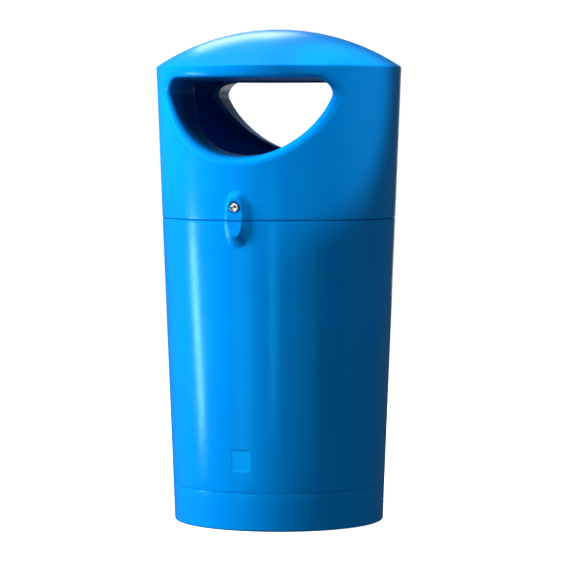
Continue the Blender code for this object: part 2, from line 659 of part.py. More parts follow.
def make_ears():
    """Four bent brackets riveted inside the liner that carry the handles."""
    face, thick = ear_face(), 0.002
    for name, turn, angle in ear_mounts():
        frame = Matrix.Rotation(angle, 4, "Z")
        # the plate lies along the wall away from the handle; the ear stands in from it
        outline = [(face, 0.0), (face, turn * 0.0190), (face - thick, turn * 0.0190),
                   (face - thick, turn * thick), (face - 0.0245, turn * thick),
                   (face - 0.0245, 0.0)]
        shape = prism(outline, HANDLE_Z - 0.019, HANDLE_Z + 0.012,
                      lambda u, v, w, m=frame: m @ Vector((u, v, w)))
        ear = finish(name, shape, "galvanised")
        side = 1 if math.cos(angle) > 0 else -1
        plane_x = side * HANDLE_PLANE_X
        holes = [((plane_x, -0.08, HANDLE_Z), (plane_x, 0.08, HANDLE_Z))]
        combine(ear, "DIFFERENCE", rods(f"cut_{name}_pivot", holes, HANDLE_WIRE + 0.0011, 12))
        combine(ear, "DIFFERENCE",
                rods(f"cut_{name}_rivets", rivet_spans(turn, angle), RIVET_HOLE, 8))
        for i, point in enumerate(rivet_points(turn, angle), 1):
            outer = liner_radius(point.z) - ear_face() + GAP
            rivet = [(0.0, -thick - GAP - 0.0016), (0.0028, -thick - GAP - 0.0012),
                     (0.0036, -thick - GAP), (RIVET, -thick - GAP), (RIVET, outer),
                     (0.0036, outer), (0.0028, outer + 0.0012), (0.0, outer + 0.0016)]
            turned_piece(f"{name}_rivet_{i}", "zinc", rivet, point, outward(angle), 10)


def bail_path(side):
    """Centre line of one bail handle, hanging down: stub, leg, grip, leg, stub."""
    bend, low = HANDLE_BEND, HANDLE_Z - HANDLE_DROP
    small = 0.006
    half = [(HANDLE_HALF + 0.0170, HANDLE_Z)]
    half += arc(HANDLE_HALF + small, HANDLE_Z - small, small, math.pi / 2, math.pi, 4)
    half += arc(HANDLE_HALF - bend, low + bend, bend, 0.0, -math.pi / 2, 5)
    points = [(side * HANDLE_PLANE_X, y, z) for y, z in half]
    return points + [(x, -y, z) for x, y, z in reversed(points)]


def make_handles():
    """Two wire bail handles, each with its origin on its pivots' line."""
    for side, word in ((1, "right"), (-1, "left")):
        swing = Vector((side * HANDLE_PLANE_X, 0.0, HANDLE_Z))
        curve = bpy.data.curves.new(f"liner_handle_{word}", "CURVE")
        curve.dimensions = "3D"
        curve.bevel_depth = HANDLE_WIRE
        curve.bevel_resolution = 1
        curve.use_fill_caps = True
        points = bail_path(side)
        spline = curve.splines.new("POLY")
        spline.points.add(len(points) - 1)
        for spot, point in zip(spline.points, points):
            spot.co = (*(Vector(point) - swing), 1.0)
        curve.materials.append(material("galvanised"))
        handle = bpy.data.objects.new(f"liner_handle_{word}", curve)
        bpy.context.scene.collection.objects.link(handle)
        handle.location = swing


def main():
    """Empty the file and make every piece."""
    for obj in list(bpy.data.objects):
        bpy.data.objects.remove(obj)
    make_plinth()
    make_ballast()
    make_plinth_bolts()
    make_body()
    hood_axis = pivot("hood_axis", (0, HINGE_Y, SEAM_Z))
    make_hood(hood_axis)
    make_hinge(hood_axis)
    make_lock(hood_axis)
    make_strike()
    make_liner()
    make_ears()
    make_handles()


main()
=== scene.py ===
"""Looks for a hooded outdoor litter bin: blue rotomoulded polyethylene hood, body and plinth with a
see-through aperture, a chrome triangular-key lock, a stainless hinge and a galvanised liner.

Metres, +Z up, front facing -Y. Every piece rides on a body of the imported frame.
"""

import math

import bmesh
import bpy
import numpy as np
from mathutils import Matrix, Vector


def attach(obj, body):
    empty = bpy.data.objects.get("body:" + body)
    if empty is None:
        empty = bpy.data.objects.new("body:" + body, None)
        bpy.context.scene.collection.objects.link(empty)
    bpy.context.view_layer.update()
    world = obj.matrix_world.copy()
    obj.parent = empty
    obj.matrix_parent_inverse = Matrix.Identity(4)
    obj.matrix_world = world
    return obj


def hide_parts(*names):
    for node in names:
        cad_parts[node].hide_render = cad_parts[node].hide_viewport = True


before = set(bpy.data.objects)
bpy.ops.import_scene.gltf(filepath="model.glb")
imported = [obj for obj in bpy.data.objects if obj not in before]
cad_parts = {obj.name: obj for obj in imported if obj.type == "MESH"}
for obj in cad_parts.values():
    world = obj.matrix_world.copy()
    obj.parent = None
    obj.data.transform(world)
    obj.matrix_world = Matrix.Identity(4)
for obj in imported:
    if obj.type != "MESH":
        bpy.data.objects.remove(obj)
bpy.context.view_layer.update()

# ---- the mouldings' shape ----
BRIM_RADIUS, BRIM_Z = 0.2552, 0.945
TAPER = 0.039                 # radius lost per metre of height
DOME_RISE = 0.0776
DOME_RADIUS = (BRIM_RADIUS ** 2 + DOME_RISE ** 2) / (2 * DOME_RISE)
DOME_CENTRE = BRIM_Z + DOME_RISE - DOME_RADIUS
BRIM_FILLET = 0.005
WALL = 0.006
SKIN = 0.00006                # the fine skins lie this far inside the solids they stand for
WELD = 0.00002                # points of a skin nearer than this are one point

SEAM_Z = 0.6316
PLINTH_TOP = 0.0784
SPIGOT_OUTER, SPIGOT_INNER, SPIGOT_TOP = 0.2355, 0.2315, 0.645
BODY_FLOOR = 0.0856
DRAIN_RADIUS = 0.0202
SEAM_GAP, PLINTH_GAP = 0.00025, 0.0002       # half the gaps at the two seams

# aperture outlines in front view: circle centre, circle radius, flat top, corner radius
CREASE = (0.9590, 0.2139, 0.9330, 0.045)
EDGE = (0.9430, 0.1838, 0.9215, 0.030)
THROAT = (0.9340, 0.1700, 0.9138, 0.024)
EDGE_DEPTH, TOP_EASE = 0.015, 0.010   # depth of the lip's foot; how much less it is at the top
EASE_START, EASE_SPAN = 0.880, 0.040  # heights over which it gets less
THROAT_RADIUS = 0.177         # of the upright cylinder where the chutes end
RING_SPACING = 0.011
APERTURE_MIDDLE = 0.862             # height the outlines are sampled round
PANEL_HALF = math.radians(67.5)     # half angle of the wall panel round an aperture
PANEL_LOW = 0.722
PANEL_ROWS = 34

# pads: half width, half height and centre height of foot and face; power of their superellipse
PAD_FACE_Y = 0.2575
LOCK_PAD = {"base": (0.0285, 0.0602, 0.634), "face": (0.0158, 0.0390, 0.641), "power": 2.5}
HINGE_PAD = {"base": (0.0600, 0.0592, 0.637), "face": (0.0500, 0.0440, 0.637), "power": 5.0}
PAD_ZONE, RECESS_ZONE = 0.08, 0.03   # half widths of the stretches of wall that hold them
RECESS = (0.0210, 0.0230, 0.1440, 0.0014)   # half width, half height, centre height, depth
RECESS_CORNER, RECESS_EASE = 0.0042, 0.0020
EDGE_BAND = 0.0012            # half width of the finer rows and columns at the recess's edges
FINE_STEP, EDGE_STEP = 0.0015, 0.0006
LOCK_Z = 0.6602
LOCK_SEAT = 0.005             # depth of the counterbore round the lock
SEAT_BORE, SHAFT_BORE = 0.0122, 0.0083

# ---- looks ----
BLUES = (0.0, 0.213, 0.670), (0.0, 0.231, 0.720)
# a lighter copy of the blues for the recess floor: painted light
RECESS_LIT_BLUES = (0.0, 0.250, 0.740), (0.0, 0.268, 0.790)
SPECULAR_TINT = (0.02, 0.55, 1.0, 1.0)   # the blue is at sRGB's edge, so its gloss is tinted too
INSIDE_SHADE = 0.38                 # share of the colour left inside the hood: painted shade
INSIDE_SHADE_EDGE = (0.205, 0.236)    # distances from the axis between which the painted shade clears
FLOOR_GLOW = 0.97


def wall_radius(z):
    """Outer radius of the tapered wall at height z, a number or an array."""
    return BRIM_RADIUS - SKIN - TAPER * (BRIM_Z - z)


def smooth(t):
    """Smoothstep of a number or array, clamped to 0..1."""
    t = np.clip(t, 0.0, 1.0)
    return t * t * (3.0 - 2.0 * t)


def spaced(*stretches):
    """Sample places from (start, end, step) stretches, each point once."""
    places = []
    for start, end, step in stretches:
        count = max(1, round((end - start) / step))
        places += [start + (end - start) * i / count for i in range(count)]
    places.append(stretches[-1][1])
    return places


def arc(centre_u, centre_v, radius, start, end, steps):
    """Points along an arc, both ends included."""
    turns = np.linspace(start, end, steps + 1)
    return [(centre_u + radius * math.cos(a), centre_v + radius * math.sin(a)) for a in turns]


# ---- materials ----
def map_range(tree, value, low, high, start, end, kind="LINEAR"):
    """A value stretched or eased from start..end to low..high in a node tree."""
    node = tree.nodes.new("ShaderNodeMapRange")
    node.interpolation_type = kind
    for key, number in (("From Min", start), ("From Max", end), ("To Min", low), ("To Max", high)):
        node.inputs[key].default_value = number
    tree.links.new(value, node.inputs["Value"])
    return node.outputs["Result"]


class Look:
    """A Principled material and short calls for the nodes that feed it."""

    def __init__(self, name, **values):
        self.material = bpy.data.materials.new(name)
        self.material.use_nodes = True
        self.nodes = self.material.node_tree.nodes
        self.links = self.material.node_tree.links
        self.shader = self.nodes["Principled BSDF"]
        for key, value in values.items():
            self.shader.inputs[key.replace("_", " ")].default_value = value
        self.place = self.nodes.new("ShaderNodeTexCoord").outputs["Object"]

    def node(self, kind, source=None, into="Vector", **values):
        """A new node with these input values, fed from a socket or the object coordinates."""
        node = self.nodes.new("ShaderNode" + kind)
        for key, value in values.items():
            node.inputs[key].default_value = value
        self.links.new(source or self.place, node.inputs[into])
        return node

    def stretched(self, x, y, z):
        """Object coordinates scaled differently along each axis."""
        return self.node("Mapping", Scale=(x, y, z)).outputs["Vector"]

    def noise(self, scale, detail=2.0, rough=0.5, place=None):
        """Noise value, 0..1."""
        node = self.node("TexNoise", place, Scale=scale, Detail=detail, Roughness=rough)
        return node.outputs["Fac"]

    def cells(self, scale):
        """A random value for each cell of a Voronoi pattern."""
        cell = self.node("TexVoronoi", Scale=scale).outputs["Color"]
        return self.node("SeparateColor", cell, into=0).outputs[0]

    def spread(self, value, low, high, start=0.3, end=0.7):
        """A value stretched from start..end to low..high."""
        return map_range(self.material.node_tree, value, low, high, start, end)

    def colours(self, value, first, second, start=0.3, end=0.7):
        """A colour between two, driven by a value."""
        node = self.node("ValToRGB", value, into="Fac")
        for stop, position, colour in zip(node.color_ramp.elements, (start, end), (first, second)):
            stop.position = position
            stop.color = (*colour, 1.0)
        self.links.new(node.outputs["Color"], self.shader.inputs["Base Color"])

    def distance(self, centre, flat=1.0):
        """Distance from a point on the axis; flat = 0 leaves the height out."""
        offset = self.node("VectorMath", into=0)
        offset.operation = "MULTIPLY_ADD"
        offset.inputs[1].default_value = (1.0, 1.0, flat)
        offset.inputs[2].default_value = (0.0, 0.0, -centre * flat)
        length = self.node("VectorMath", offset.outputs["Vector"], into=0)
        length.operation = "LENGTH"
        return length.outputs["Value"]

    def paint_shade(self, first, second):
        """Darken the base colour by the larger of two values, as painted shade."""
        most = self.node("Math", first, into=0)
        most.operation = "MAXIMUM"
        self.links.new(second, most.inputs[1])
        colour = self.shader.inputs["Base Color"]
        scaled = self.node("VectorMath", colour.links[0].from_socket, into=0)
        scaled.operation = "SCALE"
        self.links.new(most.outputs["Value"], scaled.inputs["Scale"])
        self.links.new(scaled.outputs["Vector"], colour)

    def roughness(self, value):
        """Feed the roughness."""
        self.links.new(value, self.shader.inputs["Roughness"])

    def bump(self, value, strength, distance):
        """Add a bump; a second one stacks on the first."""
        node = self.node("Bump", value, into="Height", Strength=strength, Distance=distance)
        normal = self.shader.inputs["Normal"]
        if normal.is_linked:
            self.links.new(normal.links[0].from_socket, node.inputs["Normal"])
        self.links.new(node.outputs["Normal"], normal)


def plastic(name, shades, rough, peel, shade_inside=False):
    """Rotomoulded polyethylene: soft mottling, a fine orange peel, faint dull patches.

    Its last flag paints shade: it darkens the hood's inside, chutes and all, and spares the outside
    of wall and dome.
    """
    look = Look(name, Specular_IOR_Level=0.5, Specular_Tint=SPECULAR_TINT)
    look.colours(look.noise(5.0, 3.0), *shades)
    # painted shade: the hood's inside, near the axis and under the dome, is darkened in its colour
    if shade_inside:
        from_axis, from_dome = look.distance(0.0, flat=0.0), look.distance(DOME_CENTRE)
        look.paint_shade(look.spread(from_axis, INSIDE_SHADE, 1.0, *INSIDE_SHADE_EDGE),
                   look.spread(from_dome, INSIDE_SHADE, 1.0, DOME_RADIUS - WALL, DOME_RADIUS - WALL / 2))
    look.roughness(look.spread(look.noise(16.0, 4.0, 0.6), *rough))
    look.bump(look.noise(330.0, 2.0), peel, 0.0006)
    look.bump(look.noise(1900.0, 1.0), peel * 0.7, 0.00012)
    return look.material


def metal(name, metallic, tone, shades, dullness, rough, relief, bump):
    """A metal; tone, dullness and relief are (scale, detail) of the noises that vary it."""
    look = Look(name, Metallic=metallic)
    look.colours(look.noise(*tone), *shades)
    look.roughness(look.spread(look.noise(*dullness), *rough))
    look.bump(look.noise(*relief), *bump)
    return look.material


def make_looks():
    """All materials by name."""
    looks = {
        # the hood's plastic carries painted shade on its inside
        "hood_plastic": plastic("hood_polyethylene", BLUES, (0.20, 0.268), 0.10, shade_inside=True),
        "body_plastic": plastic("body_polyethylene", BLUES, (0.17, 0.23), 0.06),
        # the recess floor's plastic, lighter than the body's: painted light
        "recess_lit_patch": plastic("recess_lit_patch", RECESS_LIT_BLUES, (0.12, 0.17), 0.03),
        "chrome": metal("polished_chrome", 1.0, (180.0, 3.0),
                        ((0.78, 0.79, 0.80), (0.90, 0.91, 0.92)),
                        (420.0, 3.0), (0.05, 0.13), (700.0, 2.0), (0.04, 0.0002)),
        "zinc": metal("passivated_zinc", 0.6, (260.0, 3.0),
                      ((0.50, 0.50, 0.44), (0.70, 0.70, 0.68)),
                      (500.0, 2.0), (0.28, 0.44), (900.0, 2.0), (0.10, 0.0002)),
        "cast_iron": metal("cast_iron", 0.7, (90.0, 5.0),
                           ((0.030, 0.030, 0.032), (0.085, 0.080, 0.078)),
                           (140.0, 4.0), (0.60, 0.85), (220.0, 5.0), (0.50, 0.0010)),
    }
    look = Look("galvanised_sheet", Metallic=0.4)
    look.colours(look.cells(85.0), (0.36, 0.39, 0.41), (0.62, 0.64, 0.66), 0.0, 1.0)
    look.roughness(look.spread(look.cells(85.0), 0.30, 0.52, 0.0, 1.0))
    look.bump(look.noise(60.0, 4.0), 0.12, 0.0008)
    looks["galvanised"] = look.material

    look = Look("brushed_stainless", Metallic=1.0)
    grain = look.noise(60.0, 3.0, 0.6, look.stretched(1.0, 40.0, 40.0))
    look.colours(grain, (0.50, 0.50, 0.49), (0.66, 0.66, 0.65))
    look.roughness(look.spread(grain, 0.28, 0.42))
    look.bump(grain, 0.10, 0.0002)
    looks["stainless"] = look.material
    return looks


LOOKS = make_looks()


# ---- mesh making ----
def placed(name, data):
    """An object of this data, linked to the scene."""
    made = bpy.data.objects.new(name, data)
    bpy.context.scene.collection.objects.link(made)
    return made


def finished(name, bm, body, slot, nodes, sharp=None):
    """Make a smooth-shaded piece of a bmesh, ride it on its body and let it stand for nodes.

    The slot names the look too.
    """
    mesh = bpy.data.meshes.new(name)
    bm.to_mesh(mesh)
    bm.free()
    mesh.shade_smooth()
    if sharp:
        mesh.set_sharp_from_angle(angle=math.radians(sharp))
    mesh.materials.append(LOOKS[slot])
    piece = placed(name, mesh)
    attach(piece, body)
    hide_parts(*nodes)
    return piece


class Skin:
    """A mesh gathered from grids of points whose shared edges are welded."""

    def __init__(self):
        self.points = []
        self.faces = []

    def add_grid(self, grid, wrap=False):
        """Add rows of points, (rows, columns, 3); wrap joins the last column to the first."""
        grid = np.asarray(grid, float)
        rows, columns = grid.shape[:2]
        first = len(self.points)
        self.points.extend(grid.reshape(-1, 3).tolist())
        for r in range(rows - 1):
            for c in range(columns if wrap else columns - 1):
                d = (c + 1) % columns
                self.faces.append((first + r * columns + c, first + r * columns + d,
                                   first + (r + 1) * columns + d, first + (r + 1) * columns + c))

    def add_fan(self, ring, tip):
        """Close a ring of points with a fan to one point."""
        first = len(self.points)
        self.points.extend(np.asarray(ring, float).tolist())
        self.points.append(list(tip))
        last = len(self.points) - 1
        for c in range(len(ring)):
            self.faces.append((first + c, first + (c + 1) % len(ring), last))

    def build(self, name, body, slot, nodes, sharp=None):
        """Weld the grids and make the piece."""
        rough = bpy.data.meshes.new(name)
        rough.from_pydata(self.points, [], self.faces)
        bm = bmesh.new()
        bm.from_mesh(rough)
        bpy.data.meshes.remove(rough)
        bmesh.ops.remove_doubles(bm, verts=bm.verts, dist=WELD)
        bmesh.ops.dissolve_degenerate(bm, edges=bm.edges, dist=WELD / 10)
        bmesh.ops.recalc_face_normals(bm, faces=bm.faces)
        return finished(name, bm, body, slot, nodes, sharp)


def round_wall(turns, radii, heights):
    """Grid of points on a surface of revolution: one row for each (radius, height)."""
    turns = np.asarray(turns)
    grid = np.empty((len(radii), len(turns), 3))
    grid[:, :, 0] = np.outer(radii, np.sin(turns))
    grid[:, :, 1] = -np.outer(radii, np.cos(turns))
    grid[:, :, 2] = np.asarray(heights)[:, None]
    return grid


# ---- outlines of the aperture ----
def segment_outline(centre_z, radius, top_z, corner, steps=90):
    """Closed outline (x, z): an arc below, two rounded corners and a flat top."""
    corner_z = top_z - corner
    corner_x = math.sqrt((radius - corner) ** 2 - (corner_z - centre_z) ** 2)
    lean = math.atan2(corner_z - centre_z, corner_x)
    points = arc(0.0, centre_z, radius, -math.pi - lean, lean, 2 * steps)
    points += arc(corner_x, corner_z, corner, lean, math.pi / 2, steps)[1:]
    points += [(x, top_z) for x in np.linspace(corner_x, -corner_x, steps)[1:-1]]
    points += arc(-corner_x, corner_z, corner, math.pi / 2, math.pi - lean, steps)[:-1]
    return np.array(points)


def sampled_outline(outline, directions):
    """Where rays from the aperture's middle in these directions cross the outline."""
    x, z = outline[:, 0], outline[:, 1] - APERTURE_MIDDLE
    bearing, reach = np.arctan2(z, x), np.hypot(x, z)
    order = np.argsort(bearing)
    found = np.interp(directions, bearing[order], reach[order], period=2 * math.pi)
    return np.stack([found * np.cos(directions), APERTURE_MIDDLE + found * np.sin(directions)],
                    axis=1)


def at_radius(outline, radius):
    """Front-view points (x, z) put at a radius from the axis, one value or one for each point."""
    x, z = outline[:, 0], outline[:, 1]
    return np.stack([x, -np.sqrt(radius ** 2 - x ** 2), z], axis=1)


def on_wall(outline, depth):
    """Front-view points (x, z) put on the wall, depth inside it."""
    return at_radius(outline, wall_radius(outline[:, 1]) - depth)


def on_lip(outline, share=1.0, further=0.0):
    """An outline put a share of the lip's depth inside the wall, shallower along the flat top."""
    depth = EDGE_DEPTH - TOP_EASE * smooth((outline[:, 1] - EASE_START) / EASE_SPAN)
    return on_wall(outline, depth * share + further)


def rounded_rings(corners, trims, steps):
    """Rings that run through corner rings, each inner corner rounded by its trim length.

    corners is a list of rings (n, 3); trims and steps hold one value for each inner corner.
    """
    rings = [corners[0]]
    for before, corner, after, trim, count in zip(corners, corners[1:], corners[2:], trims, steps):
        back, ahead = before - corner, after - corner
        back_length = np.linalg.norm(back, axis=1, keepdims=True)
        ahead_length = np.linalg.norm(ahead, axis=1, keepdims=True)
        start = corner + back * np.minimum(trim / back_length, 0.46)
        end = corner + ahead * np.minimum(trim / ahead_length, 0.46)
        for t in np.linspace(0.0, 1.0, count + 1):
            rings.append((1 - t) ** 2 * start + 2 * t * (1 - t) * corner + t ** 2 * end)
    rings.append(corners[-1])
    return rings


def subdivided(rings, longest):
    """Rings with straight in-between rings added wherever two are further apart than longest."""
    out = [rings[0]]
    for low, high in zip(rings, rings[1:]):
        gap = np.linalg.norm(high - low, axis=1).max()
        count = max(1, math.ceil(gap / longest))
        out += [low + (high - low) * i / count for i in range(1, count + 1)]
    return out


# ---- raised pads and the recess ----
def pad_share(x, z, shape):
    """How far a point is down a pad's flank: 0 on the flat face, 1 at its foot and beyond."""
    def measure(half_width, half_height, centre_z):
        power = shape["power"]
        return (np.abs(x / half_width) ** power
                + np.abs((z - centre_z) / half_height) ** power) ** (1 / power)
    above = np.maximum(measure(*shape["face"]) - 1.0, 0.0)
    below = np.maximum(1.0 - measure(*shape["base"]), 0.0)
    return above / (above + below + 1e-9)


def flank(share, rounding=0.16):
    """Height of the flank, 1 on the face to 0 at the foot, with both its edges rounded."""
    parts = [share < rounding, share > 1 - rounding]
    eased = np.select(parts, [share ** 2 / (2 * rounding),
                              1 - rounding - (1 - share) ** 2 / (2 * rounding)],
                      share - rounding / 2)
    return 1.0 - eased / (1.0 - rounding)


def with_pads(grid):
    """Raise the lock pad at the front and the hinge pad at the rear out of a wall grid."""
    grid = grid.copy()
    x, y, z = grid[..., 0], grid[..., 1], grid[..., 2]
    for side, shape in ((-1, LOCK_PAD), (1, HINGE_PAD)):
        height = flank(pad_share(x, z, shape))
        face = side * (PAD_FACE_Y - SKIN)
        on_side = (y * side > 0) & (height > 0) & (np.abs(x) < PAD_ZONE)
        y[...] = np.where(on_side, y + (face - y) * height, y)
    return grid


def offset_loop(loop, distance, drop):
    """A horizontal closed loop of points moved inwards by distance and down by drop."""
    ahead = np.roll(loop, -1, axis=0) - np.roll(loop, 1, axis=0)
    inwards = np.stack([-ahead[:, 1], ahead[:, 0], np.zeros(len(loop))], axis=1)
    inwards /= np.linalg.norm(inwards, axis=1, keepdims=True)
    moved = loop + inwards * distance
    moved[:, 2] = loop[:, 2] - drop
    return moved


def seam_edge(loop, towards, radius, depth):
    """Rounded edge at a seam: from the wall's last row round the edge and in to a depth.

    towards is 1 at the wall's top and -1 at its bottom.
    """
    rows = []
    for angle in np.linspace(0.0, math.pi / 2, 6):
        rows.append(offset_loop(loop, radius * (1 - math.cos(angle)),
                                -towards * radius * math.sin(angle)))
    rows.append(offset_loop(loop, depth, -towards * radius))
    return rows


def column_turns():
    """Column angles of the wall's front, rear and right stretches, the same on hood and body.

    The columns are dense where the pads and the recess are.
    """
    radius, low, high = 0.235, RECESS[0] - EDGE_BAND, RECESS[0] + EDGE_BAND
    near = spaced((0.0, low, 0.00145), (low, high, EDGE_STEP), (high, 0.032, 0.00145))
    front = [math.asin(x / radius) for x in near]
    front += spaced((front[-1], PANEL_HALF, math.radians(1.55)))[1:]
    near = spaced((0.0, 0.044, 0.0040), (0.044, 0.062, 0.0014))
    rear = [math.asin(x / radius) for x in near]
    rear += spaced((rear[-1], PANEL_HALF, math.radians(1.9)))[1:]
    side = spaced((PANEL_HALF, math.pi - PANEL_HALF, math.radians(2.25)))
    both = [np.array([-a for a in half[:0:-1]] + half) for half in (front, rear)]
    return both[0], both[1], np.array(side)


FRONT_TURNS, REAR_TURNS, SIDE_TURNS = column_turns()
ALL_TURNS = np.concatenate([FRONT_TURNS, SIDE_TURNS[1:-1], REAR_TURNS + math.pi,
                            SIDE_TURNS[1:-1] + math.pi])


# ---- hood ----
def bell(inset, dome_steps, fillet_steps):
    """Hood profile (radius, height) from the dome's top down to where the wall starts."""
    skin = inset + SKIN
    radius = DOME_RADIUS - skin
    fillet = max(BRIM_FILLET - inset, 0.003)
    slope = math.sqrt(1.0 + TAPER ** 2)
    wall_at_zero = wall_radius(0.0) + SKIN - (skin + fillet) * slope
    a = 1.0 + TAPER ** 2
    b = 2 * (TAPER * wall_at_zero - DOME_CENTRE)
    c = wall_at_zero ** 2 + DOME_CENTRE ** 2 - (radius - fillet) ** 2
    centre_z = (-b + math.sqrt(b * b - 4 * a * c)) / (2 * a)
    centre_r = wall_at_zero + TAPER * centre_z
    lean = math.atan2(centre_z - DOME_CENTRE, centre_r)
    points = arc(0.0, DOME_CENTRE, radius, math.pi / 2, lean, dome_steps)[:-1]
    points += arc(centre_r, centre_z, fillet, lean, -math.atan(TAPER), fillet_steps)
    return points


WALL_TOP = bell(0.0, 4, 4)[-1][1]        # where the wall meets the brim's fillet


def aperture_strip(columns):
    """Rings of the front aperture: outer panel edge, lip, chute, throat, inner panel edge."""
    rows = np.linspace(PANEL_LOW, WALL_TOP, PANEL_ROWS + 1)
    turns = np.concatenate([columns[:-1], np.full(PANEL_ROWS, columns[-1]), columns[:0:-1],
                            np.full(PANEL_ROWS, columns[0])])
    heights = np.concatenate([np.full(len(columns) - 1, rows[0]), rows[:-1],
                              np.full(len(columns) - 1, rows[-1]), rows[:0:-1]])

    def panel_ring(turns, heights, inset):
        radius = wall_radius(heights) - inset
        return np.stack([radius * np.sin(turns), -radius * np.cos(turns), heights], axis=1)

    outer_edge = panel_ring(turns, heights, 0.0)
    directions = np.arctan2(heights - APERTURE_MIDDLE, outer_edge[:, 0])

    def outline(shape, grow=0.0):
        centre_z, radius, top_z, corner = shape
        grown = (centre_z, radius + grow, top_z + grow, corner + grow)
        return sampled_outline(segment_outline(*grown), directions)

    def towards_edge(ring, inset, share):
        """A ring on the wall, a share of the way from ring to the panel's edge."""
        start, height = np.arctan2(ring[:, 0], -ring[:, 1]), ring[:, 2]
        return panel_ring(start + (turns - start) * share, height + (heights - height) * share,
                          inset)

    def just_outside(ring, inset, reach=0.009):
        """A ring on the wall that lies reach nearer the panel's edge."""
        span = np.hypot((turns - np.arctan2(ring[:, 0], -ring[:, 1])) * BRIM_RADIUS,
                        heights - ring[:, 2])
        return towards_edge(ring, inset, np.minimum(reach / span, 0.85))

    def bridge(ring, inset, steps=6):
        """In-between rings along the wall from the panel's edge to a ring."""
        shares = np.linspace(1.0, 0.0, steps + 1)[:-1]
        return [towards_edge(ring, inset, share) for share in shares]

    crease = on_wall(outline(CREASE), 0.0)
    inner_crease = on_wall(outline(CREASE), WALL)
    near_outer, near_inner = just_outside(crease, 0.0), just_outside(inner_crease, WALL)
    # the lip rolls over: shallow next to the crease, steep towards its foot
    roll = 0.42 * outline(CREASE) + 0.58 * outline(EDGE)
    corners = [near_outer, crease, on_lip(roll, 0.30), on_lip(outline(EDGE)),
               at_radius(outline(THROAT), THROAT_RADIUS),
               at_radius(outline(THROAT, WALL), THROAT_RADIUS),
               on_lip(outline(EDGE, WALL), further=0.003), inner_crease, near_inner]
    rings = rounded_rings(corners, (0.0050, 0.0060, 0.0070, 0.0028, 0.0028, 0.006, 0.004),
                          (6, 6, 7, 5, 5, 3, 3))
    middle_rings = subdivided(rings, RING_SPACING)
    return bridge(near_outer, 0.0) + middle_rings + bridge(near_inner, WALL)[::-1]


def make_hood():
    """The hood's skin, in and out, with both apertures and the upper halves of the pads."""
    skin = Skin()
    edge_radius = 0.0042
    bottom = SEAM_Z + SEAM_GAP
    pad_top = LOCK_PAD["base"][2] + LOCK_PAD["base"][1] + 0.001
    rows = spaced((bottom + edge_radius, pad_top, FINE_STEP), (pad_top, PANEL_LOW, 0.009))
    outer = with_pads(round_wall(ALL_TURNS, wall_radius(np.array(rows)), rows))
    edge = seam_edge(outer[0], -1, edge_radius, WALL)
    inner_rows = np.array([bottom, 0.660, 0.690, PANEL_LOW])
    inner = round_wall(ALL_TURNS, wall_radius(inner_rows) - WALL, inner_rows)
    skin.add_grid(np.concatenate([inner[::-1], edge[:0:-1], outer]), wrap=True)
    heights = np.linspace(PANEL_LOW, WALL_TOP, PANEL_ROWS + 1)
    for turn in (0.0, math.pi):
        for inset in (0.0, WALL):
            skin.add_grid(round_wall(SIDE_TURNS + turn, wall_radius(heights) - inset, heights))
    skin.add_grid(aperture_strip(FRONT_TURNS), wrap=True)
    turned_half = (-1.0, -1.0, 1.0)
    skin.add_grid(np.asarray(aperture_strip(REAR_TURNS)) * turned_half, wrap=True)
    for inset, dome_steps, fillet_steps in ((0.0, 26, 7), (WALL, 12, 3)):
        profile = np.array(bell(inset, dome_steps, fillet_steps))
        profile[-1] = (wall_radius(WALL_TOP) - inset, WALL_TOP)
        dome = round_wall(ALL_TURNS, profile[1:, 0], profile[1:, 1])
        skin.add_grid(dome, wrap=True)
        skin.add_fan(dome[0], (0.0, 0.0, profile[0, 1]))
    cut_lock_seat(skin.build("hood", "hood", "hood_plastic", ["hood_shell"]))


def cut_lock_seat(hood):
    """Bore the lock's seat and shaft hole in the pad."""
    for name, radius, deep in (("seat", SEAT_BORE, PAD_FACE_Y - LOCK_SEAT),
                               ("bore", SHAFT_BORE, 0.225)):
        bm = bmesh.new()
        start, end = Vector((0, -0.27, LOCK_Z)), Vector((0, -deep, LOCK_Z))
        where = Matrix.Translation((start + end) / 2) @ Matrix.Rotation(math.pi / 2, 4, "X")
        bmesh.ops.create_cone(bm, cap_ends=True, segments=48, radius1=radius, radius2=radius,
                              depth=(end - start).length, matrix=where)
        tool = placed(name, bpy.data.meshes.new(name))
        bm.to_mesh(tool.data)
        bm.free()
        cut = hood.modifiers.new(name, "BOOLEAN")
        cut.object = tool
        cut.solver = "EXACT"
        bpy.context.view_layer.update()
        evaluated = hood.evaluated_get(bpy.context.evaluated_depsgraph_get())
        mesh = bpy.data.meshes.new_from_object(evaluated)
        hood.modifiers.clear()
        hood.data = mesh
        bpy.data.objects.remove(tool)
    hood.data.shade_smooth()
    hood.data.set_sharp_from_angle(angle=math.radians(40))


# ---- body and plinth ----
def with_recess(grid):
    """Press the flat, shallow label recess into the front of a wall grid."""
    half_width, half_height, centre_z, depth = RECESS
    grid = grid.copy()
    x, y, z = grid[..., 0], grid[..., 1], grid[..., 2]
    across = np.abs(x) - (half_width - RECESS_CORNER)
    up = np.abs(z - centre_z) - (half_height - RECESS_CORNER)
    outside = np.hypot(np.maximum(across, 0.0), np.maximum(up, 0.0))
    distance = outside + np.minimum(np.maximum(across, up), 0.0) - RECESS_CORNER
    share = smooth(-distance / RECESS_EASE)
    floor = -(wall_radius(z) - depth)
    front = (y < 0) & (np.abs(x) < RECESS_ZONE)
    y[...] = np.where(front, y + (floor - y) * share, y)
    return grid


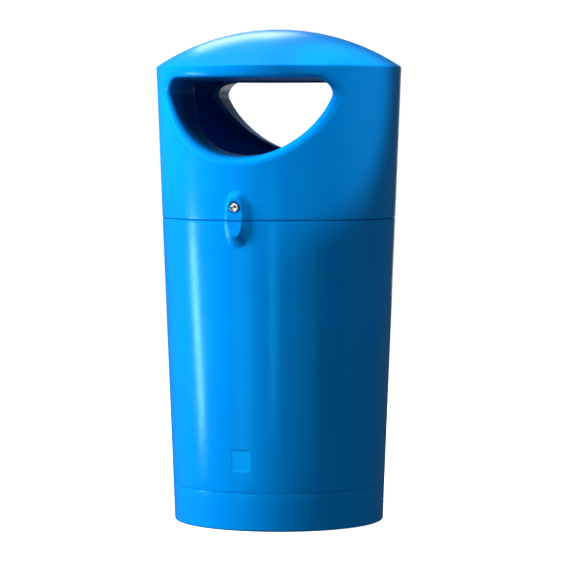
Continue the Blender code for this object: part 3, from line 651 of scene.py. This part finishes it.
def make_body():
    """The body's skin with its pads, recess, seam edges, spigot, floor and inner wall."""
    skin = Skin()
    edge_radius, foot_radius = 0.0014, 0.0008
    top, low = SEAM_Z - SEAM_GAP, PLINTH_TOP + PLINTH_GAP
    pad_low = LOCK_PAD["base"][2] - LOCK_PAD["base"][1] - 0.001
    stops = [RECESS[2] + side * RECESS[1] + band
             for side in (-1, 1) for band in (-EDGE_BAND, EDGE_BAND)]
    rows = spaced((low + foot_radius, stops[0], 0.018), (stops[0], stops[1], EDGE_STEP),
                  (stops[1], stops[2], FINE_STEP), (stops[2], stops[3], EDGE_STEP),
                  (stops[3], pad_low, 0.045), (pad_low, top - edge_radius, FINE_STEP))
    outer = with_recess(with_pads(round_wall(ALL_TURNS, wall_radius(np.array(rows)), rows)))
    upper = seam_edge(outer[-1], 1, edge_radius, 0.0030)
    lower = seam_edge(outer[0], -1, foot_radius, 0.0040)
    # the inside's profile: spigot, inner wall, floor with its rounded corner, drain
    out, back = SPIGOT_OUTER - 0.0002, SPIGOT_INNER + 0.0002
    shoulder, floor_radius = SPIGOT_TOP - 0.0012, wall_radius(BODY_FLOOR) - WALL
    profile = [(out, top), (out, shoulder)]
    profile += arc((out + back) / 2, SPIGOT_TOP - 0.0020, (out - back) / 2, 0.3, math.pi - 0.3, 6)
    profile += [(back, shoulder), (back, 0.614), (wall_radius(0.600) - WALL, 0.600),
                (floor_radius, BODY_FLOOR + 0.004), (floor_radius - 0.004, BODY_FLOOR),
                (DRAIN_RADIUS, BODY_FLOOR), (DRAIN_RADIUS, low)]
    profile = np.array(profile)
    inner = round_wall(ALL_TURNS, profile[:, 0], profile[:, 1])
    skin.add_grid(np.concatenate([inner[-1:], lower[::-1], outer, upper[1:], inner]), wrap=True)
    body = skin.build("body", "base", "body_plastic", ["body_shell"], sharp=50)
    # the recess floor takes the lighter blue, painted light
    body.data.materials.append(LOOKS["recess_lit_patch"])
    half_width, half_height, centre_z, depth = RECESS
    edge = RECESS_EASE / 2
    for face in body.data.polygons:
        x, y, z = face.center
        inside = abs(x) < half_width - edge and abs(z - centre_z) < half_height - edge
        on_floor = -wall_radius(z) < y < 0.0 and math.hypot(x, y) > wall_radius(z) - 2 * depth
        if inside and on_floor:
            face.material_index = 1


def make_plinth():
    """The plinth tray: rounded foot, thin seam edge, inner wall and floor."""
    skin = Skin()
    turns = np.linspace(0.0, 2 * math.pi, 193)[:-1]
    foot, lip, floor, hub = 0.0042, 0.0008, 0.014, 0.05
    top = PLINTH_TOP - PLINTH_GAP
    rim = wall_radius(top)
    profile = [(hub, 0.0)] + arc(wall_radius(foot) - foot, foot, foot, -math.pi / 2, 0.0, 8)
    profile += [(wall_radius(z), z) for z in np.linspace(0.012, top - lip, 5)]
    profile += arc(rim - lip, top - lip, lip, 0.0, math.pi / 2, 4)[1:]
    profile += [(rim - WALL, top), (wall_radius(floor + 0.002) - WALL, floor + 0.002), (hub, floor)]
    profile = np.array(profile)
    grid = round_wall(turns, profile[:, 0], profile[:, 1])
    skin.add_grid(grid, wrap=True)
    skin.add_fan(grid[0], (0.0, 0.0, 0.0))
    skin.add_fan(grid[-1], (0.0, 0.0, floor))
    skin.build("plinth", "base", "body_plastic", ["base_plinth"], sharp=50)


# ---- small parts ----
GAP = 0.0003                  # clearance between metal pieces and what they sit on
LOCK_HEAD, LOCK_SHAFT = 0.0097, 0.0080              # radii
LOCK_FACE, LOCK_END = 0.2605, 0.2276                # distances in front of the axis
CAM_FRONT, CAM_BACK, CAM_REACH, CAM_HALF = 0.2270, 0.2245, 0.038, 0.008
STRIKE_FRONT, STRIKE_BACK, STRIKE_HALF = 0.2302, 0.2278, 0.0165
STRIKE_LOW, STRIKE_HIGH = 0.6110, 0.6430
HINGE_RADIUS, HINGE_LEAF, HINGE_HALF, HINGE_MIDDLE = 0.0045, 0.0025, 0.046, 0.016
HINGE_Y = PAD_FACE_Y + GAP + HINGE_RADIUS
LEAF_LOW, LEAF_HIGH, LEAF_CORNER, ROLL_END = 0.0053, 0.0268, 0.006, 0.0075   # from the seam
LINER_BASE, LINER_RIM, LINER_WALL = (0.182, 0.0862), (0.200, 0.610), 0.002
HANDLE_X, HANDLE_Z, HANDLE_HALF, HANDLE_DROP, WIRE = 0.179, 0.590, 0.036, 0.080, 0.0028
EAR_ANGLE = math.radians(13.6)
EAR_THICKNESS, EAR_FOOT, EAR_ARM = 0.002, 0.019, 0.0245
EAR_BOTTOM, EAR_TOP = HANDLE_Z - 0.019, HANDLE_Z + 0.012
RIVET_HEAD, RIVET_RISE, RIVET_SHANK = 0.0036, 0.0016, 0.0017
RIBS, RIB_RISE, RIB_SPREAD = (0.235, 0.445), 0.0014, 0.0055    # swaged ribs of the liner
BEAD, BEAD_Z = 0.0045, 0.6052                       # its rolled rim
# screws: shank radius, head radius, head height, length
CAM_SCREW = (0.0013, 0.0052, 0.0026, 0.0070)
HINGE_SCREW = (0.0024, 0.0045, 0.0024, 0.0150)
STRIKE_SCREW = (0.0020, 0.0038, 0.0018, 0.0160)


def solid(name, bm, body, slot, nodes, bevel=0.0, sharp=35):
    """Bevel a bmesh's sharp edges, where asked, and make the piece."""
    bmesh.ops.recalc_face_normals(bm, faces=bm.faces)
    if bevel:
        limit = math.radians(38)
        edges = [e for e in bm.edges if len(e.link_faces) == 2 and e.calc_face_angle() > limit]
        bmesh.ops.bevel(bm, geom=edges, offset=bevel, segments=2, profile=0.5, affect="EDGES",
                        clamp_overlap=True)
    finished(name, bm, body, slot, nodes, sharp)


def along(origin, direction):
    """The matrix that puts +Z along direction at origin."""
    turn = Vector(direction).to_track_quat("Z", "Y").to_matrix().to_4x4()
    return Matrix.Translation(origin) @ turn


def polygon(sides, radius, turn=0.0):
    """Corners of a regular polygon."""
    turns = (turn + 2 * math.pi * i / sides for i in range(sides))
    return [(radius * math.cos(a), radius * math.sin(a)) for a in turns]


def join(bm, low, high):
    """Faces between two rings of a bmesh; a ring of one point is a tip."""
    count = max(len(low), len(high))
    for i in range(count):
        j = (i + 1) % count
        if len(low) == 1:
            bm.faces.new((low[0], high[i], high[j]))
        elif len(high) == 1:
            bm.faces.new((low[i], low[j], high[0]))
        else:
            bm.faces.new((low[i], low[j], high[j], high[i]))


def turned(profile, segments=48, where=Matrix.Identity(4), closed=False):
    """A bmesh turned about Z from (radius, height) points, then placed by where."""
    bm = bmesh.new()
    rings = []
    for radius, height in profile:
        ring = polygon(segments, radius) if radius > 1e-9 else [(0.0, 0.0)]
        rings.append([bm.verts.new(where @ Vector((u, v, height))) for u, v in ring])
    if closed:
        rings.append(rings[0])
    for low, high in zip(rings, rings[1:]):
        join(bm, low, high)
    return bm


def prism(outline, start, end, place, bm=None):
    """A closed prism, in bm or a new bmesh.

    place(u, v, w) gives the point of outline point (u, v) at depth w.
    """
    bm = bm or bmesh.new()
    low = [bm.verts.new(place(u, v, start)) for u, v in outline]
    high = [bm.verts.new(place(u, v, end)) for u, v in outline]
    bm.faces.new(low)
    bm.faces.new(high)
    join(bm, low, high)
    return bm


def lock_pieces():
    """The barrel with its recessed triangular post, the nut behind the hood and the cam."""
    bore, socket, face, seat = 0.0048, 0.0066, LOCK_FACE, PAD_FACE_Y - LOCK_SEAT + GAP
    barrel = [(bore, LOCK_END), (LOCK_SHAFT, LOCK_END), (LOCK_SHAFT, seat), (LOCK_HEAD, seat),
              (LOCK_HEAD, face - 0.0014), (LOCK_HEAD - 0.00035, face - 0.0006),
              (LOCK_HEAD - 0.0011, face - 0.0001), (LOCK_HEAD - 0.0018, face),
              (socket + 0.0006, face), (socket + 0.0002, face - 0.0001),
              (socket, face - 0.0005), (socket, face - 0.0040), (bore, face - 0.0040)]
    where = along((0, 0, LOCK_Z), (0, -1, 0))
    solid("cam_lock_barrel", turned(barrel, 64, where, closed=True), "hood", "chrome",
          ["lock_barrel"], sharp=50)

    def forward(u, v, w):
        return Vector((u, -w, LOCK_Z + v))

    pin = [(0.0, LOCK_END), (0.0045, LOCK_END), (0.0045, face - 0.0042), (0.0, face - 0.0042)]
    bm = turned(pin, 40, where)
    post = []
    for corner_x, corner_z in polygon(3, 0.0032, math.pi / 2):
        facing = math.atan2(corner_z, corner_x)
        post += arc(corner_x, corner_z, 0.0009, facing - math.pi / 3, facing + math.pi / 3, 4)
    prism(post, face - 0.0050, face - 0.0008, forward, bm)
    prism(polygon(4, 0.0042, math.pi / 4), CAM_BACK, LOCK_END + 0.001, forward, bm)
    solid("cam_lock_post", bm, "lock", "chrome", ["lock_spindle"], bevel=0.0002)

    inner = wall_radius(LOCK_Z) - WALL - 0.001
    bm = prism(polygon(6, 0.0122), inner - 0.005, inner, forward)
    solid("cam_lock_nut", bm, "hood", "zinc", ["lock_nut"], bevel=0.0006)
    outline = arc(0.0, 0.0, CAM_HALF + 0.001, math.pi / 3, math.pi * 5 / 3, 24)
    outline += arc(CAM_REACH - CAM_HALF, 0.0, CAM_HALF, -math.pi / 2, math.pi / 2, 24)
    bm = prism(outline, CAM_BACK, CAM_FRONT, forward)
    solid("cam_lock_cam", bm, "lock", "zinc", ["lock_cam"], bevel=0.0003)
    head = along((0, GAP - CAM_BACK, LOCK_Z), (0, 1, 0))
    solid("cam_lock_screw", screw_mesh(*CAM_SCREW, head), "lock", "zinc", ["cam_screw"])


def screw_mesh(shank, head, height, length, where):
    """A domed screw with a hexagon socket in its head."""
    sides, key = 36, 0.42 * head
    dome = [(head, 0.0), (head, 0.30 * height), (0.93 * head, 0.62 * height),
            (0.76 * head, 0.88 * height), (0.58 * head, height)]
    bm = turned([(0.0, -length), (shank, -length), (shank, 0.0)] + dome, sides, where)
    rim = [v for v in bm.verts if len(v.link_faces) == 2 and len(v.link_edges) == 3]
    rim.sort(key=lambda v: math.atan2(*list(where.inverted() @ v.co)[1::-1]))
    for level in (height, 0.35 * height):
        ring = []
        for i in range(sides):
            turn = 2 * math.pi * i / sides
            reach = key * math.cos(math.pi / 6) / math.cos(turn % (math.pi / 3) - math.pi / 6)
            corner = Vector((-reach * math.cos(turn), -reach * math.sin(turn), level))
            ring.append(bm.verts.new(where @ corner))
        join(bm, rim, ring)
        rim = ring
    bm.faces.new(rim)
    return bm


def hinge_pieces():
    """Two leaves with rolled knuckles, the pin and four socket screws."""
    near = PAD_FACE_Y + GAP
    far = near + HINGE_LEAF
    inner = HINGE_MIDDLE + 0.0005
    spans = {-1: [(-HINGE_HALF, -inner), (inner, HINGE_HALF)], 1: [(-HINGE_MIDDLE, HINGE_MIDDLE)]}
    for side, body, node in ((-1, "base", "hinge_leaf_body"), (1, "hood", "hinge_leaf_hood")):
        half = [(HINGE_HALF, side * LEAF_LOW)]
        half += arc(HINGE_HALF - LEAF_CORNER, side * (LEAF_HIGH - LEAF_CORNER), LEAF_CORNER, 0.0,
                    side * math.pi / 2, 8)
        outline = half + [(-u, v) for u, v in reversed(half)]
        bm = prism(outline, near, far, lambda u, v, w: Vector((u, w, SEAM_Z + v)))
        # the roll: flat against the pad, round the pin and back down on to the leaf's outer face
        top, radius = far - HINGE_Y, HINGE_RADIUS - 0.0001
        lean = math.atan2(math.sqrt(radius ** 2 - top ** 2), top)
        roll = [(near, side * ROLL_END)]
        roll += [(HINGE_Y + radius * math.cos(a), -side * radius * math.sin(a))
                 for a in np.linspace(math.pi, -lean, 28)]
        roll.append((far, side * ROLL_END))
        for start, end in spans[side]:
            prism(roll, start, end, lambda u, v, w: Vector((w, u, SEAM_Z + v)), bm)
        solid(node.replace("hinge_leaf", "hinge_plate"), bm, body, "stainless", [node],
              bevel=0.00035)
    end, head = HINGE_HALF + 0.0014, 0.0034
    pin = [(0.0, -end), (head * 0.6, -end), (head, -end + 0.0006), (head, -HINGE_HALF - GAP),
           (0.0021, -HINGE_HALF - GAP), (0.0021, HINGE_HALF + GAP), (head, HINGE_HALF + GAP),
           (head, end - 0.0006), (head * 0.6, end), (0.0, end)]
    solid("hinge_rod", turned(pin, 32, along((0, HINGE_Y, SEAM_Z), (1, 0, 0))), "base",
          "stainless", ["hinge_pin"])
    for side, body, owner in ((-1, "base", "body"), (1, "hood", "hood")):
        for i, x in enumerate((-0.031, 0.031), 1):
            where = along((x, far + GAP, SEAM_Z + side * 0.016), (0, 1, 0))
            solid(f"hinge_bolt_{owner}_{i}", screw_mesh(*HINGE_SCREW, where), body, "stainless",
                  [f"hinge_{owner}_screw_{i}"])


def strike_pieces():
    """The keeper plate inside the spigot and its screws."""
    outline = [(-STRIKE_HALF, STRIKE_LOW), (STRIKE_HALF, STRIKE_LOW), (STRIKE_HALF, STRIKE_HIGH),
               (-STRIKE_HALF, STRIKE_HIGH)]
    bm = prism(outline, STRIKE_BACK, STRIKE_FRONT, lambda u, v, w: Vector((u, -w, v)))
    solid("keeper_plate", bm, "base", "zinc", ["strike_plate"], bevel=0.0005)
    for i, x in enumerate((-0.011, 0.011), 1):
        where = along((x, GAP - STRIKE_BACK, 0.6155), (0, 1, 0))
        solid(f"keeper_screw_{i}", screw_mesh(*STRIKE_SCREW, where), "base", "zinc",
              [f"strike_screw_{i}"])


def liner_radius(z):
    """Outer radius of the liner's wall."""
    share = (z - LINER_BASE[1]) / (LINER_RIM[1] - LINER_BASE[1])
    return LINER_BASE[0] + (LINER_RIM[0] - LINER_BASE[0]) * share


def liner_pieces():
    """The liner: folded foot, raised floor, two swaged ribs, rolled rim."""
    base_r, base_z = LINER_BASE
    floor = base_z + 0.010
    outer = [(0.0, floor), (0.05, floor), (base_r - 0.006, floor),
             (base_r - 0.0032, floor - 0.0015), (base_r - LINER_WALL, base_z + 0.0008),
             (base_r - 0.0014, base_z), (base_r - 0.0004, base_z + 0.0003),
             (base_r + 0.0001, base_z + 0.0012)]
    inner = []
    for z in spaced((base_z + 0.02, 0.592, 0.006)):
        rib = max(math.exp(-((z - centre) / RIB_SPREAD) ** 2) for centre in RIBS) * RIB_RISE
        outer.append((liner_radius(z) + rib, z))
        inner.append((liner_radius(z) + rib - 0.0014, z))
    bead_r, wall_in = liner_radius(BEAD_Z) + 0.0008, liner_radius(0.600) - 0.0016
    curl = arc(bead_r, BEAD_Z, BEAD, -math.radians(70), math.pi, 20)
    profile = outer + curl + [(bead_r - BEAD, 0.601), (wall_in, 0.597)] + inner[::-1]
    profile += [(base_r - 0.0045, floor + 0.006), (base_r - 0.008, floor + LINER_WALL),
                (0.05, floor + LINER_WALL), (0.0, floor + LINER_WALL)]
    solid("liner", turned(profile, 180), "liner", "galvanised", ["liner_bucket"], sharp=60)


def handle_pieces():
    """The two wire bails, hanging down inside the liner."""
    bend, small, low = 0.010, 0.006, HANDLE_Z - HANDLE_DROP
    half = [(HANDLE_HALF + 0.0170, HANDLE_Z), (HANDLE_HALF + 0.0110, HANDLE_Z)]
    half += arc(HANDLE_HALF + small, HANDLE_Z - small, small, math.pi / 2, math.pi, 10)
    half += [(HANDLE_HALF, z) for z in np.linspace(HANDLE_Z - 0.02, low + bend + 0.01, 5)]
    half += arc(HANDLE_HALF - bend, low + bend, bend, 0.0, -math.pi / 2, 12)
    path = np.array(half + [(0.0, low)] + [(-y, z) for y, z in reversed(half)])
    ahead = np.gradient(path, axis=0)
    ahead /= np.linalg.norm(ahead, axis=1, keepdims=True)
    turns = np.linspace(0.0, 2 * math.pi, 17)[:-1]
    for side, word in ((1, "right"), (-1, "left")):
        rings = np.empty((len(path), len(turns), 3))
        rings[:, :, 0] = side * HANDLE_X + WIRE * np.sin(turns)
        rings[:, :, 1] = path[:, :1] - np.outer(ahead[:, 1], WIRE * np.cos(turns))
        rings[:, :, 2] = path[:, 1:] + np.outer(ahead[:, 0], WIRE * np.cos(turns))
        skin = Skin()
        skin.add_grid(rings, wrap=True)
        skin.add_fan(rings[0], rings[0].mean(axis=0))
        skin.add_fan(rings[-1], rings[-1].mean(axis=0))
        skin.build(f"bail_{word}", f"handle_{word}", "galvanised", [f"liner_handle_{word}"],
                   sharp=60)


def ear_pieces():
    """The four riveted brackets that carry the bails."""
    face = liner_radius(HANDLE_Z - 0.012) - LINER_WALL - 0.0020
    back = face - EAR_THICKNESS
    for right in (True, False):
        for end, place in ((-1, "front"), (1, "rear")):
            angle = end * EAR_ANGLE if right else math.pi - end * EAR_ANGLE
            side = end if right else -end
            word = f"{'right' if right else 'left'}_{place}"
            matrix = Matrix.Rotation(angle, 4, "Z")
            outline = [(face, 0.0), (face, side * EAR_FOOT), (back, side * EAR_FOOT),
                       (back, side * EAR_THICKNESS), (face - EAR_ARM, side * EAR_THICKNESS),
                       (face - EAR_ARM, 0.0)]
            bm = prism(outline, EAR_BOTTOM, EAR_TOP, lambda *point: matrix @ Vector(point))
            solid(f"bracket_{word}", bm, "liner", "galvanised", [f"handle_ear_{word}"],
                  bevel=0.0006)
            for i, height in enumerate((-0.0135, 0.0065), 1):
                spot = matrix @ Vector((face, side * 0.0115, HANDLE_Z + height))
                where = along(spot, matrix @ Vector((1, 0, 0)))
                near, far = -EAR_THICKNESS - GAP, liner_radius(spot.z) - face + GAP
                head = [(0.0, -1.0)] + arc(0.0, 0.0, 1.0, -math.pi / 2, 0.0, 6)[1:]
                rivet = [(RIVET_HEAD * u, near + RIVET_RISE * v) for u, v in head]
                rivet += [(RIVET_SHANK, near), (RIVET_SHANK, far)]
                rivet += [(RIVET_HEAD * u, far - RIVET_RISE * v) for u, v in reversed(head)]
                solid(f"rivet_{word}_{i}", turned(rivet, 24, where), "liner", "zinc",
                      [f"handle_ear_{word}_rivet_{i}"])


def keep_cad_pieces():
    """The hidden ballast and its fixings stay as the CAD has them, in better materials."""
    kept = {"ballast_plate": "cast_iron", "plinth_bolt": "zinc", "plinth_nut": "zinc"}
    for name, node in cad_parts.items():
        for look in (kept[start] for start in kept if name.startswith(start)):
            for slot in node.material_slots:
                slot.material = LOOKS[look]


# ---- studio ----
def place_lamp(name, light, azimuth, distance, height, target, roll=0.0, glossy=False):
    """Put a light round the bin, azimuth from the front towards +X, facing target."""
    lamp = placed(name, light)
    turn = math.radians(azimuth)
    lamp.location = Vector((distance * math.sin(turn), -distance * math.cos(turn), height))
    facing = (target - lamp.location).to_track_quat("-Z", "Y").to_matrix()
    lamp.rotation_euler = (facing @ Matrix.Rotation(math.radians(roll), 3, "Z")).to_euler()
    lamp.visible_camera = False
    lamp.visible_glossy = glossy


def softbox(name, azimuth, distance, height, width, tall, power, aim, roll=0.0, glossy=True):
    """A rectangular light that faces the axis at height aim, turned by roll about its beam."""
    light = bpy.data.lights.new(name, "AREA")
    light.shape = "RECTANGLE"
    light.size, light.size_y = width, tall
    light.energy = power
    place_lamp(name, light, azimuth, distance, height, Vector((0.0, 0.0, aim)), roll, glossy)


def spotlight(name, azimuth, distance, height, power, spread, blend, aim_azimuth, aim_height):
    """A spot that lights a soft-edged disc of the wall; it is seen in no reflection."""
    light = bpy.data.lights.new(name, "SPOT")
    light.energy, light.shadow_soft_size = power, 0.03
    light.spot_size, light.spot_blend = math.radians(spread), blend
    turn = math.radians(aim_azimuth)
    aim = Vector((BRIM_RADIUS * math.sin(turn), -BRIM_RADIUS * math.cos(turn), aim_height))
    place_lamp(name, light, azimuth, distance, height, aim)


def make_world():
    """Ambient light by direction: more from above and from the front left than from the rest."""
    world = bpy.data.worlds.new("studio")
    bpy.context.scene.world = world
    world.use_nodes = True
    tree = world.node_tree
    back = tree.nodes["Background"]
    place = tree.nodes.new("ShaderNodeTexCoord").outputs["Generated"]

    def glow(direction, low, high, start, end):
        """Light that grows from low to high towards a direction."""
        node = tree.nodes.new("ShaderNodeVectorMath")
        node.operation = "DOT_PRODUCT"
        node.inputs[1].default_value = Vector(direction).normalized()
        tree.links.new(place, node.inputs[0])
        return map_range(tree, node.outputs["Value"], low, high, start, end, "SMOOTHSTEP")

    total = tree.nodes.new("ShaderNodeMath")
    tree.links.new(glow((0, 0, 1), 0.06, 0.08, -0.2, 0.9), total.inputs[0])
    tree.links.new(glow((-1, -0.6, 0.1), 0.0, 0.04, 0.0, 1.0), total.inputs[1])
    tree.links.new(total.outputs["Value"], back.inputs["Strength"])
    back.inputs["Color"].default_value = (0.72, 1.0, 0.88, 1.0)


def make_backdrop():
    """Pale floor that sweeps up to a pale wall all round; it lights nothing, reflects nowhere."""
    rows = [(0.0, 0.0)] + [(r, 0.0) for r in (0.5, 1.0, 2.0, 4.0, 8.0, 14.0)]
    rows += arc(14.0, 6.0, 6.0, -math.pi / 2, 0.0, 12)[1:] + [(20.0, 30.0), (0.0, 34.0)]
    bm = turned(rows, 96)
    bmesh.ops.recalc_face_normals(bm, faces=bm.faces)
    bmesh.ops.reverse_faces(bm, faces=bm.faces)
    mesh = bpy.data.meshes.new("studio_floor")
    bm.to_mesh(mesh)
    bm.free()
    mesh.shade_smooth()
    floor = placed("studio_floor", mesh)
    look = Look("pale_paper", Roughness=1.0, Specular_IOR_Level=0.0, Emission_Strength=FLOOR_GLOW)
    look.shader.inputs["Emission Color"].default_value = (1.0, 1.0, 1.0, 1.0)
    look.colours(look.noise(2.0), (0.53, 0.53, 0.53), (0.55, 0.55, 0.55))
    look.material.cycles.emission_sampling = "NONE"
    mesh.materials.append(look.material)
    floor.visible_diffuse = False
    floor.visible_glossy = False
    floor.visible_shadow = False


def make_camera():
    """The camera, right of the front and a little below the brim, with a long lens."""
    data = bpy.data.cameras.new("camera")
    data.lens, data.sensor_width = 188.7, 36.0
    data.shift_x, data.shift_y = 0.0045, -0.0119
    camera = placed("camera", data)
    azimuth, distance, height, dip = math.radians(20.4), 6.166, 0.842, math.radians(3.07)
    camera.location = (distance * math.sin(azimuth), -distance * math.cos(azimuth), height)
    camera.rotation_euler = (math.pi / 2 - dip, 0.0, azimuth)
    bpy.context.scene.camera = camera


def make_lights():
    """Broad lights that no reflection shows, cards and strips that do show, two spots."""
    softbox("key", -51, 3.0, 1.9, 1.8, 1.8, 198, aim=0.55, glossy=False)
    softbox("top", -100, 0.5, 3.2, 1.8, 1.8, 80, aim=0.9, glossy=False)
    softbox("fill", 102, 3.5, 1.2, 2.5, 2.5, 20, aim=0.5, glossy=False)
    softbox("rear", -160, 2.6, 2.6, 1.6, 1.6, 50, aim=0.5, glossy=False)
    softbox("back_left", -153.2, 3.0, 2.47, 0.95, 0.80, 6.5, aim=1.0, roll=-25)
    softbox("left_strip", -65.5, 1.5, 0.24, 0.18, 0.55, 5.5, aim=0.24, roll=19)
    softbox("front_panel", -13.5, 1.5, 0.15, 0.42, 0.62, 1.5, aim=0.15)
    softbox("right_strip", 15.0, 1.5, 0.27, 0.17, 0.50, 1.2, aim=0.27)
    softbox("right_panel", 44.0, 2.0, 0.12, 0.80, 0.60, 1.3, aim=0.12)
    softbox("lock_card", -20.4, 2.5, 0.583, 0.30, 0.30, 0.5, aim=0.583)
    softbox("rear_card", -172, 2.5, 0.75, 0.70, 0.90, 1.6, aim=0.65)
    spotlight("hood_right", 75, 1.9, 3.1, 330, 6.0, 0.4, 54, 0.893)
    spotlight("hood_left", -84, 2.9, 1.75, 270, 9.5, 1.0, -72, 0.870)


make_camera()
make_hood()
make_body()
make_plinth()
lock_pieces()
hinge_pieces()
strike_pieces()
liner_pieces()
handle_pieces()
ear_pieces()
keep_cad_pieces()
make_backdrop()
make_world()
make_lights()
bpy.context.scene.view_settings.view_transform = "Standard"
